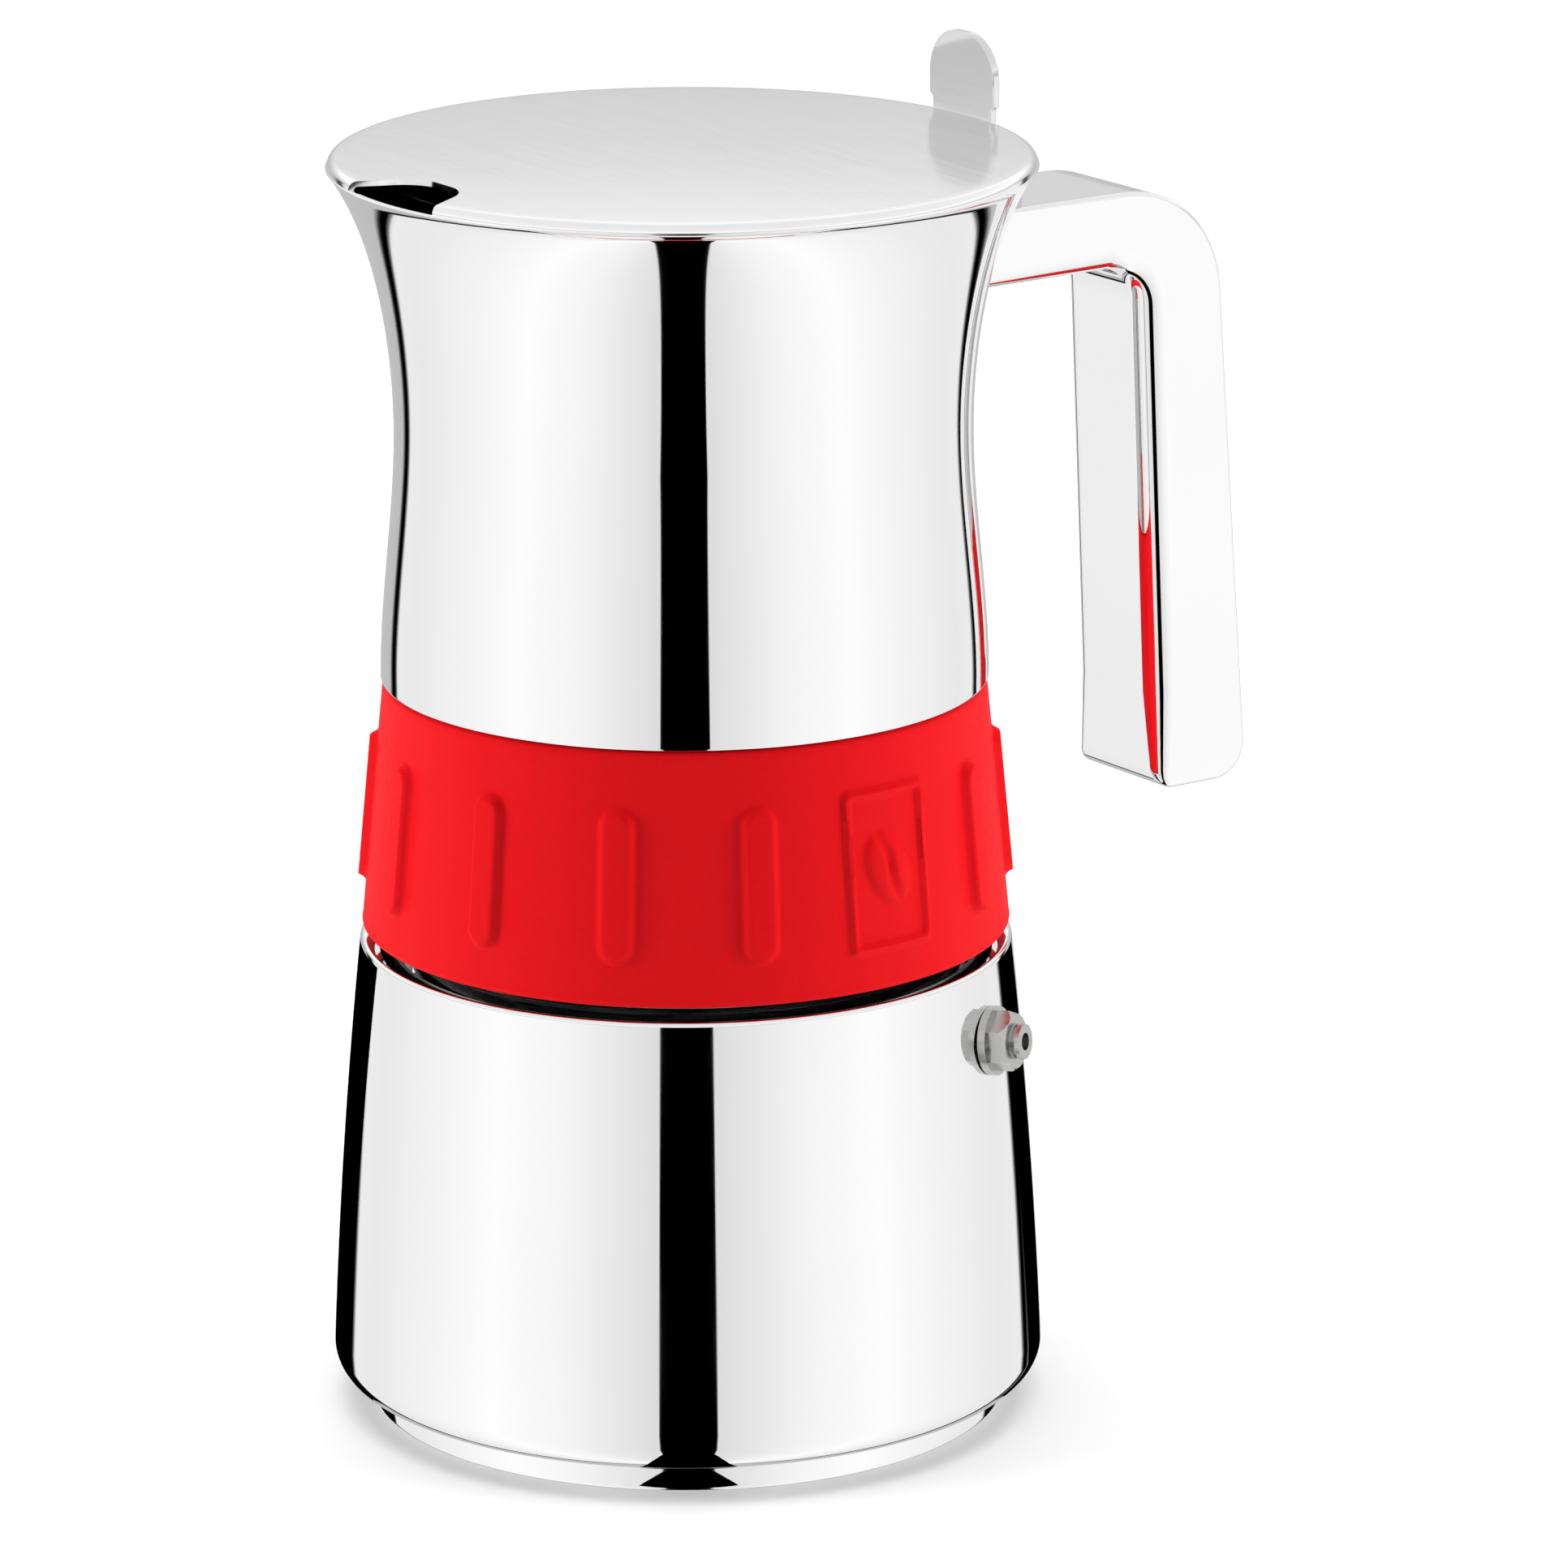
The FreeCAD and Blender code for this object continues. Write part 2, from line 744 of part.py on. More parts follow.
def handle_outline(inset):
    """The hooked bar seen from the side, set in by its wall for the hollow."""
    top = handle_top - inset
    under = handle_top - arm_depth + inset
    bottom = handle_top - handle_length + inset
    bend = handle_bend - inset
    inner_bend = handle_inner_bend + inset
    toe = handle_toe - inset
    heel = max(handle_heel - inset, handle_hollow_corner)
    bend_x = grip_outer(handle_top - handle_bend) - handle_bend
    inner_x = grip_inner(under - handle_inner_bend) + inset - inner_bend
    toe_x = grip_outer(bottom + toe) - inset - toe
    heel_x = grip_inner(bottom + heel) + inset + heel
    start = waist_radius - past
    steps = [(start, top), (bend_x, top)]
    steps.append(corner(bend_x, top - bend, bend, 90, 0))
    steps.append((toe_x + toe, bottom + toe))
    steps.append(corner(toe_x, bottom + toe, toe, 0, -90))
    steps.append((heel_x, bottom))
    steps.append(corner(heel_x, bottom + heel, heel, 270, 180))
    steps.append((inner_x + inner_bend, under - inner_bend))
    steps.append(corner(inner_x, under - inner_bend, inner_bend, 0, 90))
    steps.append((start, under))
    return steps


def handle_blank(inset, width):
    face = Part.Face(closed_wire(handle_outline(inset)))
    face.translate(Vector(0, -width / 2, 0))
    return face.extrude(Vector(0, width, 0))


def is_long_edge(edge, width):
    box = edge.BoundBox
    return box.YLength < 0.001 and abs(abs(box.YMin) - width / 2) < 0.001


def is_inner_edge(edge):
    """True along the arm's underside and the grip's inner face."""
    point = edge.valueAt((edge.FirstParameter + edge.LastParameter) / 2)
    under = handle_top - arm_depth
    middle = (grip_inner(point.z) + grip_outer(point.z)) / 2
    above = point.z > handle_top - arm_depth / 2
    return not above and point.x < middle and (point.x < grip_inner(under) + 1 or point.z < under)


def make_handle_shell():
    blank = handle_blank(0, handle_width)
    long_edges = [edge for edge in blank.Edges if is_long_edge(edge, handle_width)]
    inner = [edge for edge in long_edges if is_inner_edge(edge)]
    blank = blank.makeFillet(handle_inner_round, inner)
    hollow_width = handle_width - 2 * handle_wall
    hollow = handle_blank(handle_wall, hollow_width)
    long_edges = [edge for edge in hollow.Edges if is_long_edge(edge, hollow_width)]
    inner = [edge for edge in long_edges if is_inner_edge(edge)]
    hollow = hollow.makeFillet(handle_inner_round - handle_wall, inner)
    shell = blank.cut(hollow)
    return shell.cut(collector_solid())


def make_handle_bracket():
    """A curved plate welded to the vessel, with a tongue up the hollow arm."""
    width = handle_width - 2 * handle_inner_round - 2 * bracket_side_gap
    low = handle_top - arm_depth + handle_wall + bracket_end_gap
    high = handle_top - handle_wall - bracket_end_gap
    zone = slab(0, rim_radius, width, low, high)
    skin = [(radius + bracket_plate, height) for radius, height in collector_side_points()]
    outer = turned([(0, skin[0][1]), skin[0], tuple(skin[1:]), (0, skin[-1][1])])
    plate = zone.common(outer)
    tongue_low = (low + high - bracket_plate) / 2
    tongue_end = waist_radius + bracket_tongue_reach
    tongue = slab(0, tongue_end, bracket_tongue_width, tongue_low, tongue_low + bracket_plate)
    return plate.fuse(tongue).cut(collector_solid()).removeSplitter()


def collector_side_points():
    return [(body_foot_radius, band_top + ledge_rise)] + body_side(0)


# ---------------------------------------------------------------- hinge


def cross_rod(radius, length, centre_y):
    """A round bar on the hinge axis."""
    start = Vector(hinge_x, centre_y - length / 2, hinge_z)
    return Part.makeCylinder(radius, length, start, ALONG_Y)


def make_hinge_bracket():
    half = hinge_gap / 2 + ear_thickness
    inner_x = hinge_x - ear_radius
    outer_x = hinge_x + ear_radius
    base_top = handle_top + hinge_base
    base = slab(inner_x - hinge_base_lap, outer_x, 2 * half, handle_top, base_top)
    ears = slab(inner_x, outer_x, 2 * half, base_top, hinge_z)
    ears = ears.fuse(cross_rod(ear_radius, 2 * half, 0))
    ears = ears.cut(slab(inner_x - past, outer_x + past, hinge_gap, base_top, hinge_z + 2 * ear_radius))
    bracket = base.fuse(ears).cut(cross_rod(hinge_pin_radius, 2 * half + past, 0))
    return bracket.cut(collector_solid()).removeSplitter()


def make_hinge_pin():
    half = hinge_gap / 2 + ear_thickness
    pin = cross_rod(hinge_pin_radius, 2 * half, 0)
    for side in (-1, 1):
        head_y = side * (half + hinge_pin_head / 2)
        pin = pin.fuse(cross_rod(hinge_pin_head_radius, hinge_pin_head, head_y))
    return pin.removeSplitter()


def make_lid_lever():
    """One bent strip: a knuckle on the pin, a leaf over the rim and the thumb tab."""
    width = hinge_gap - 2 * knuckle_side_gap
    knuckle = cross_rod(knuckle_radius, width, 0)
    leaf_x = rim_radius + leaf_rim_gap
    lid_top = lid_low + lid_edge
    leaf = slab(leaf_x, leaf_x + leaf_thickness, width, hinge_z, lid_top + leaf_thickness)
    tab_x = lid_radius - lid_edge - lever_setback
    bridge = slab(tab_x, leaf_x + leaf_thickness, width, lid_top, lid_top + leaf_thickness)
    tab_low = lid_top + lever_neck_height
    neck_width = lever_width - 2 * lever_neck
    neck = slab(tab_x, tab_x + leaf_thickness, neck_width, lid_top - lever_seat, tab_low + lever_round)
    tab = slab(tab_x, tab_x + leaf_thickness, lever_width, tab_low, lid_top + lever_height)
    through = [edge for edge in tab.Edges if abs(edge.tangentAt(edge.FirstParameter).x) > 0.9]
    top_corners = [edge for edge in through if edge.CenterOfMass.z > lid_top + lever_height - past]
    tab = tab.makeFillet(lever_round, top_corners)
    lever = knuckle.fuse(leaf).fuse(bridge).fuse(neck).fuse(tab)
    bore = cross_rod(hinge_pin_radius + knuckle_gap, width + past, 0)
    return lever.cut(bore).cut(make_lid()).removeSplitter()


makers = {
    "boiler_shell": make_boiler_shell,
    "base_disc": make_base_disc,
    "base_cap": make_base_cap,
    "valve_body": make_valve_body,
    "valve_seat": make_valve_seat,
    "valve_piston": make_valve_piston,
    "valve_spring": make_valve_spring,
    "valve_seal": make_valve_seal,
    "valve_nut": make_valve_nut,
    "funnel_basket": make_funnel_basket,
    "funnel_sieve": make_funnel_sieve,
    "funnel_tube": make_funnel_tube,
    "gasket": make_gasket,
    "filter_plate": make_filter_plate,
    "collector_shell": make_collector_shell,
    "collector_floor": make_collector_floor,
    "thread_ring": make_thread_ring,
    "column": make_column,
    "column_cap": make_column_cap,
    "silicone_band": make_silicone_band,
    "handle_shell": make_handle_shell,
    "handle_bracket": make_handle_bracket,
    "hinge_bracket": make_hinge_bracket,
    "hinge_pin": make_hinge_pin,
    "lid": make_lid,
    "lid_lever": make_lid_lever,
}

for node, make in makers.items():
    shape = make()
    shape.exportStep("parts/" + node + ".step")
    print(node, "solids", len(shape.Solids), "valid", shape.isValid(), "volume", round(shape.Volume, 1))
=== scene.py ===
import math

import bmesh
import bpy
from mathutils import Matrix, Vector


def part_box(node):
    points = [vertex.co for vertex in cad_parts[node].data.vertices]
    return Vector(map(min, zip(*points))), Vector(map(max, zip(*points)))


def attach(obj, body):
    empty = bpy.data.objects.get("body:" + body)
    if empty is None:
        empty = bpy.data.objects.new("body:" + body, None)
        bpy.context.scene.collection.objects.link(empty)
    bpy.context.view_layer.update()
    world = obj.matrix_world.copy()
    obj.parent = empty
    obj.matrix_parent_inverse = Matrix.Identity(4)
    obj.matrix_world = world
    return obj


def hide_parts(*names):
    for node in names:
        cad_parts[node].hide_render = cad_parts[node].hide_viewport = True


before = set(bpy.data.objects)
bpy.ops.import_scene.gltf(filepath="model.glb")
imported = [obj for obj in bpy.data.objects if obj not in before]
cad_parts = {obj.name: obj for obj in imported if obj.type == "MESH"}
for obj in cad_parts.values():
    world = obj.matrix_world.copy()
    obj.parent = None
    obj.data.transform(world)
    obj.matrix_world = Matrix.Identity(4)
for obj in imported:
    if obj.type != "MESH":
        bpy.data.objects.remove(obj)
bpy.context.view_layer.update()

# ---------------------------------------------------------------- studio
# A pale sheet as floor, an overhead softbox with a small one on each side, and a tent of white
# walls with a dark slit in front, which polished steel shows as a clean black stripe. Two low
# black cards behind the pot and one on the sheet before it edge the lower vessel.

view_heading = math.radians(-34.5)
view_rise = 0.269
view_distance = 1.3032
view_middle = Vector((0.0, 0.0, 0.095))
aim_turn = 0.0116
aim_drop = 0.2699
aim_roll = -0.0018
towards_view = Matrix.Rotation(view_heading, 3, "Z") @ Vector((0, -math.cos(view_rise), math.sin(view_rise)))

camera = bpy.data.objects.new("camera", bpy.data.cameras.new("camera"))
camera.data.lens = 202.4
camera.data.sensor_width = 36.0
camera.data.clip_start = 0.05
camera.data.clip_end = 50.0
aim = Matrix.Rotation(view_heading - aim_turn, 4, "Z") @ Matrix.Rotation(math.pi / 2 - aim_drop, 4, "X")
camera.matrix_world = Matrix.Translation(view_middle + towards_view * view_distance) @ aim @ Matrix.Rotation(
    aim_roll, 4, "Z")
bpy.context.scene.collection.objects.link(camera)
bpy.context.scene.camera = camera
bpy.context.scene.view_settings.view_transform = "Standard"


def link(node_from, socket_from, node_to, socket_to, tree):
    tree.links.new(node_from.outputs[socket_from], node_to.inputs[socket_to])


def studio_floor():
    """A seamless pale sheet, far larger than the view."""
    mesh = bmesh.new()
    bmesh.ops.create_circle(mesh, cap_ends=True, radius=12.0, segments=64)
    data = bpy.data.meshes.new("floor")
    mesh.to_mesh(data)
    floor = bpy.data.objects.new("floor", data)
    bpy.context.scene.collection.objects.link(floor)
    material = bpy.data.materials.new("pale_sheet")
    material.use_nodes = True
    shader = material.node_tree.nodes["Principled BSDF"]
    shader.inputs["Base Color"].default_value = (0.93, 0.93, 0.93, 1)
    shader.inputs["Roughness"].default_value = 0.9
    shader.inputs["Specular IOR Level"].default_value = 0.1
    data.materials.append(material)
    floor.visible_glossy = False


def studio_tent():
    """The walls of the tent as a world: white to the sides, a dark slit in front, grey behind."""
    world = bpy.data.worlds.new("tent")
    bpy.context.scene.world = world
    world.use_nodes = True
    tree = world.node_tree
    tree.nodes.clear()
    place = tree.nodes.new("ShaderNodeTexCoord")
    turn = tree.nodes.new("ShaderNodeMapping")
    turn.vector_type = "POINT"
    turn.inputs["Rotation"].default_value = (0, 0, math.pi / 2 - view_heading)
    split = tree.nodes.new("ShaderNodeSeparateXYZ")
    link(place, "Generated", turn, "Vector", tree)
    link(turn, "Vector", split, "Vector", tree)

    bearing = tree.nodes.new("ShaderNodeMath")
    bearing.operation = "ARCTAN2"
    link(split, "Y", bearing, 0, tree)
    link(split, "X", bearing, 1, tree)
    share = tree.nodes.new("ShaderNodeMapRange")
    share.inputs["From Min"].default_value = -math.pi
    share.inputs["From Max"].default_value = math.pi
    link(bearing, "Value", share, "Value", tree)

    def ramp(stops, source, output):
        node = tree.nodes.new("ShaderNodeValToRGB")
        elements = node.color_ramp.elements
        elements.remove(elements[1])
        elements[0].position = stops[0][0]
        elements[0].color = (stops[0][1],) * 3 + (1,)
        for position, level in stops[1:]:
            elements.new(position).color = (level,) * 3 + (1,)
        link(source, output, node, "Fac", tree)
        return node

    sides = ((-180, 0.52), (-149, 0.50), (-146, 0.0), (-141, 0.0), (-139, 0.84), (-125, 0.82),
             (-90, 0.92), (-66, 1.0), (-40, 0.92), (-11, 0.74))
    stops = [((angle + 180) / 360, level) for angle, level in sides]
    stops += [(1 - position, level) for position, level in reversed(stops)]
    walls = ramp(stops, share, "Result")

    height = tree.nodes.new("ShaderNodeMath")
    height.operation = "ARCSINE"
    link(split, "Z", height, 0, tree)

    def maths(operation, *inputs):
        node = tree.nodes.new("ShaderNodeMath")
        node.operation = operation
        for index, value in enumerate(inputs):
            if isinstance(value, float):
                node.inputs[index].default_value = value
            else:
                link(value[0], value[1], node, index, tree)
        return node, "Value"

    def between(source, low, high, to_low=0.0, to_high=1.0, soft=True):
        node = tree.nodes.new("ShaderNodeMapRange")
        node.interpolation_type = "SMOOTHSTEP" if soft else "LINEAR"
        node.inputs["From Min"].default_value = low
        node.inputs["From Max"].default_value = high
        node.inputs["To Min"].default_value = to_low
        node.inputs["To Max"].default_value = to_high
        link(source[0], source[1], node, "Value", tree)
        return node, "Result"

    # The slit narrows towards the floor and has a rounded top above the horizon.
    slit_half = 0.156
    slit_half_at_floor = 0.092
    slit_top = math.radians(9)
    off_middle = maths("ABSOLUTE", (split, "Y"))
    half = between((split, "Z"), -1.0, -0.27, slit_half_at_floor, slit_half, soft=False)
    outside = between(maths("SUBTRACT", off_middle, half), -0.004, 0.004)
    crown = maths("MULTIPLY", maths("POWER", off_middle, 2.0), 1.0)
    above = between(maths("ADD", (height, "Value"), crown), slit_top, slit_top + math.radians(0.8))
    behind = between(maths("MULTIPLY", (split, "X"), -1.0), 0.10, 0.16)
    open_wall = maths("MAXIMUM", maths("MAXIMUM", outside, above), behind)

    lift = tree.nodes.new("ShaderNodeMapRange")
    lift.inputs["From Min"].default_value = -math.pi / 2
    lift.inputs["From Max"].default_value = math.pi / 2
    link(height, "Value", lift, "Value", tree)
    roof_levels = [(0.0, 0.9), (0.50, 0.60), (0.53, 0.58), (0.568, 0.66), (0.586, 0.86), (0.603, 1.0),
                   (0.68, 0.84), (1.0, 0.76)]
    roof = ramp(roof_levels, lift, "Result")

    over = between((height, "Value"), math.radians(3), math.radians(9))
    level = tree.nodes.new("ShaderNodeMixRGB")
    link(over[0], over[1], level, "Fac", tree)
    link(walls, "Color", level, "Color1", tree)
    link(roof, "Color", level, "Color2", tree)
    dark = tree.nodes.new("ShaderNodeMixRGB")
    dark.inputs["Color1"].default_value = (0.0, 0.0, 0.0, 1)
    link(open_wall[0], open_wall[1], dark, "Fac", tree)
    link(level, "Color", dark, "Color2", tree)

    glow = tree.nodes.new("ShaderNodeBackground")
    ray = tree.nodes.new("ShaderNodeLightPath")
    strength = between((ray, "Is Diffuse Ray"), 0.0, 1.0, 1.08, 0.30, soft=False)
    link(strength[0], strength[1], glow, "Strength", tree)
    link(dark, "Color", glow, "Color", tree)
    out = tree.nodes.new("ShaderNodeOutputWorld")
    link(glow, "Background", out, "Surface", tree)


def softbox(name, size, energy, place, shape="DISK"):
    """A softbox that lights the sheet and the silicone, and that steel doesn't show."""
    lamp = bpy.data.lights.new(name, "AREA")
    lamp.shape = shape
    lamp.size = size
    lamp.energy = energy
    box = bpy.data.objects.new(name, lamp)
    box.location = place
    box.rotation_euler = (Vector((0, 0, 0.1)) - box.location).to_track_quat("-Z", "Y").to_euler()
    box.visible_glossy = False
    bpy.context.scene.collection.objects.link(box)


def beside_view(bearing, distance, height):
    heading = view_heading - math.pi / 2 + math.radians(bearing)
    return Vector((distance * math.cos(heading), distance * math.sin(heading), height))


def black_card(name, mesh):
    """A black card that only the polished steel shows."""
    data = bpy.data.meshes.new(name)
    mesh.to_mesh(data)
    mesh.free()
    card = bpy.data.objects.new(name, data)
    bpy.context.scene.collection.objects.link(card)
    material = bpy.data.materials.new(name)
    material.use_nodes = True
    shader = material.node_tree.nodes["Principled BSDF"]
    shader.inputs["Base Color"].default_value = (0.0, 0.0, 0.0, 1)
    shader.inputs["Specular IOR Level"].default_value = 0.0
    shader.inputs["Roughness"].default_value = 1.0
    data.materials.append(material)
    card.visible_camera = False
    card.visible_diffuse = False
    card.visible_shadow = False
    card.visible_transmission = False


def upright_card(start, end):
    """A curved card between two bearings from the view, low behind the pot."""
    distance = 0.075
    low = -0.03
    high = 0.062
    mesh = bmesh.new()
    ends = [mesh.verts.new(beside_view(start, distance, height)) for height in (low, high)]
    bmesh.ops.spin(mesh, geom=[mesh.edges.new(ends)], cent=(0, 0, 0), axis=(0, 0, 1),
                   angle=math.radians(end - start), steps=24)
    return mesh


def floor_card():
    """A short card on the sheet before the foot, which the foot and the lower corner show."""
    lift = 0.0004
    mesh = bmesh.new()
    side = [(0.0480, 9.0), (0.0520, 7.2), (0.0570, 5.8), (0.0630, 4.8), (0.0700, 4.2)]
    corners = side + [(distance, -bearing) for distance, bearing in reversed(side)]
    mesh.faces.new([mesh.verts.new(beside_view(bearing, distance, lift)) for distance, bearing in corners])
    return mesh


studio_floor()
studio_tent()
softbox("overhead", 2.6, 52.0, beside_view(180, 0.45, 2.1))
softbox("left_side", 0.6, 9.5, beside_view(-78, 1.0, 0.25))
softbox("right_side", 0.6, 9.5, beside_view(78, 1.0, 0.25))
black_card("card_left", upright_card(-137, -101))
black_card("card_right", upright_card(104.5, 127.5))
black_card("card_floor", floor_card())

# ---------------------------------------------------------------- boiler shell
# The lower vessel, deep-drawn from 1 mm stainless sheet and polished to a mirror. Its
# straight neck carries a rolled thread with blunt crests.

boiler_low, boiler_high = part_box("boiler_shell")
foot_height = boiler_low.z
neck_top = boiler_high.z
base_radius = boiler_high.x
base_corner = 0.0040
shoulder_radius = base_radius - 0.0046
shoulder_edge = 0.0008
shoulder_height = 0.0716
side_bulge = 0.0005
boiler_wall = 0.0010
neck_radius = 0.0412
neck_fillet = 0.0015
thread_pitch = 0.0040
thread_start = 0.0756
thread_turns = 2.0
crest_radius = 0.0423
ridge_sink = 0.00025
ridge_half_width = 0.00095
ridge_steps_a_turn = 120


def arc(centre_r, centre_z, radius, start, end, steps=8):
    """Points round a corner in the (r, z) half plane, with angles in degrees from +r."""
    points = []
    for index in range(steps + 1):
        angle = math.radians(start + (end - start) * index / steps)
        points.append((centre_r + radius * math.cos(angle), centre_z + radius * math.sin(angle)))
    return points


def finish_piece(name, mesh, body, material, replaced, crease=30):
    """Turns a bmesh into a shown piece: smooth faces, with sharp edges where it turns hard."""
    bmesh.ops.remove_doubles(mesh, verts=mesh.verts, dist=1e-6)
    bmesh.ops.dissolve_degenerate(mesh, edges=mesh.edges, dist=1e-7)
    bmesh.ops.recalc_face_normals(mesh, faces=mesh.faces)
    for face in mesh.faces:
        face.smooth = True
    for edge in mesh.edges:
        edge.smooth = edge.calc_face_angle(0) < math.radians(crease)
    data = bpy.data.meshes.new(name)
    mesh.to_mesh(data)
    mesh.free()
    data.materials.append(material)
    piece = bpy.data.objects.new(name, data)
    bpy.context.scene.collection.objects.link(piece)
    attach(piece, body)
    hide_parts(*replaced)
    return piece


def turned(outline, steps=240):
    """A closed (r, z) outline spun once round the pot's axis."""
    mesh = bmesh.new()
    corners = [mesh.verts.new((r, 0, z)) for r, z in outline]
    edges = []
    for index, vert in enumerate(corners):
        after = corners[(index + 1) % len(corners)]
        if vert.co.x > 1e-9 or after.co.x > 1e-9:
            edges.append(mesh.edges.new((vert, after)))
    bmesh.ops.spin(mesh, geom=corners + edges, cent=(0, 0, 0), axis=(0, 0, 1), angle=2 * math.pi,
                   steps=steps, use_merge=True)
    return mesh


def boiler_side(inset, count=24):
    """The gently bulged side from the bottom corner up to the shoulder's edge."""
    low = foot_height + base_corner
    high = shoulder_height - shoulder_edge
    points = []
    for index in range(count + 1):
        share = index / count
        radius = base_radius + (shoulder_radius - base_radius) * share + 4 * side_bulge * share * (1 - share)
        points.append((radius - inset, low + (high - low) * share))
    return points


def boiler_skin(inset):
    floor = foot_height + inset
    shoulder = shoulder_height - inset
    edge = max(shoulder_edge - inset, 0.0001)
    fillet = neck_fillet + inset
    neck = neck_radius - inset
    points = [(0, floor), (0.03, floor)]
    points += arc(base_radius - base_corner, foot_height + base_corner, base_corner - inset, -90, 0, 12)
    points += boiler_side(inset)[1:]
    points += arc(shoulder_radius - inset - edge, shoulder - edge, edge, 0, 90, 8)[1:]
    points += arc(neck + fillet, shoulder + fillet, fillet, 270, 180, 8)
    points.append((neck, neck_top))
    return points


def polish(name, light=0.93, dark=0.89, smooth=0.015, dull=0.05, wave=0.02):
    """Mirror-polished stainless: faint polishing lines round the pot and a few dull patches."""
    material = bpy.data.materials.new(name)
    material.use_nodes = True
    tree = material.node_tree
    shader = tree.nodes["Principled BSDF"]
    shader.inputs["Metallic"].default_value = 1.0
    place = tree.nodes.new("ShaderNodeTexCoord")
    patches = tree.nodes.new("ShaderNodeTexNoise")
    patches.inputs["Scale"].default_value = 28.0
    patches.inputs["Detail"].default_value = 4.0
    link(place, "Object", patches, "Vector", tree)
    rough = tree.nodes.new("ShaderNodeMapRange")
    rough.inputs["From Min"].default_value = 0.35
    rough.inputs["From Max"].default_value = 0.75
    rough.inputs["To Min"].default_value = smooth
    rough.inputs["To Max"].default_value = dull
    link(patches, "Fac", rough, "Value", tree)
    link(rough, "Result", shader, "Roughness", tree)
    tone = tree.nodes.new("ShaderNodeMixRGB")
    tone.inputs["Color1"].default_value = (light, light, light * 1.003, 1)
    tone.inputs["Color2"].default_value = (dark, dark, dark * 1.006, 1)
    link(patches, "Fac", tone, "Fac", tree)
    link(tone, "Color", shader, "Base Color", tree)
    squeeze = tree.nodes.new("ShaderNodeMapping")
    squeeze.inputs["Scale"].default_value = (6.0, 6.0, 900.0)
    link(place, "Object", squeeze, "Vector", tree)
    lines = tree.nodes.new("ShaderNodeTexNoise")
    lines.inputs["Scale"].default_value = 4.0
    lines.inputs["Detail"].default_value = 2.0
    link(squeeze, "Vector", lines, "Vector", tree)
    bump = tree.nodes.new("ShaderNodeBump")
    bump.inputs["Strength"].default_value = wave
    bump.inputs["Distance"].default_value = 0.00005
    link(lines, "Fac", bump, "Height", tree)
    link(bump, "Normal", shader, "Normal", tree)
    return material


boiler_polish = polish("polished_boiler_steel")
skin = boiler_skin(0)
lining = boiler_skin(boiler_wall)
finish_piece("boiler_body", turned(skin + lining[::-1]), "boiler", boiler_polish,
             ["boiler_shell"])


def rolled_thread(root, crest, start):
    """A blunt ridge wound round a wall, its root a little inside the wall."""
    mesh = bmesh.new()
    sink = ridge_sink if root < crest else -ridge_sink
    half = ridge_half_width
    steps = ridge_steps_a_turn
    shape = [(root - sink, -half), (crest, -half / 2), (crest, half / 2), (root - sink, half)]
    corners = [mesh.verts.new((r, 0, start + z)) for r, z in shape]
    face = mesh.faces.new(corners)
    rise = thread_pitch * thread_turns / (steps * thread_turns)
    bmesh.ops.spin(mesh, geom=[face], cent=(0, 0, 0), axis=(0, 0, 1), dvec=(0, 0, rise),
                   angle=2 * math.pi * thread_turns, steps=int(steps * thread_turns))
    return mesh


finish_piece("boiler_thread", rolled_thread(neck_radius, crest_radius, thread_start), "boiler",
             boiler_polish, [])

# ---------------------------------------------------------------- foot
# A plain aluminium disc spreads the hob's heat, closed in by a pressed stainless cap that is
# brazed to the vessel's bottom. Its lower edge is rounded where it was drawn.

foot_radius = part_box("base_cap")[1].x
foot_round = 0.0006
foot_top_round = 0.0003
foot_skin = [(0, 0), (0.02, 0)]
foot_skin += arc(foot_radius - foot_round, foot_round, foot_round, -90, 0, 8)
foot_skin += arc(foot_radius - foot_top_round, foot_height - foot_top_round, foot_top_round, 0, 90, 4)
foot_skin += [(foot_radius - foot_round, foot_height), (foot_radius - foot_round, foot_round), (0, foot_round)]
foot_polish = polish("polished_foot_steel", smooth=0.03, dull=0.10)
finish_piece("foot_cap", turned(foot_skin), "boiler", foot_polish, ["base_cap"])


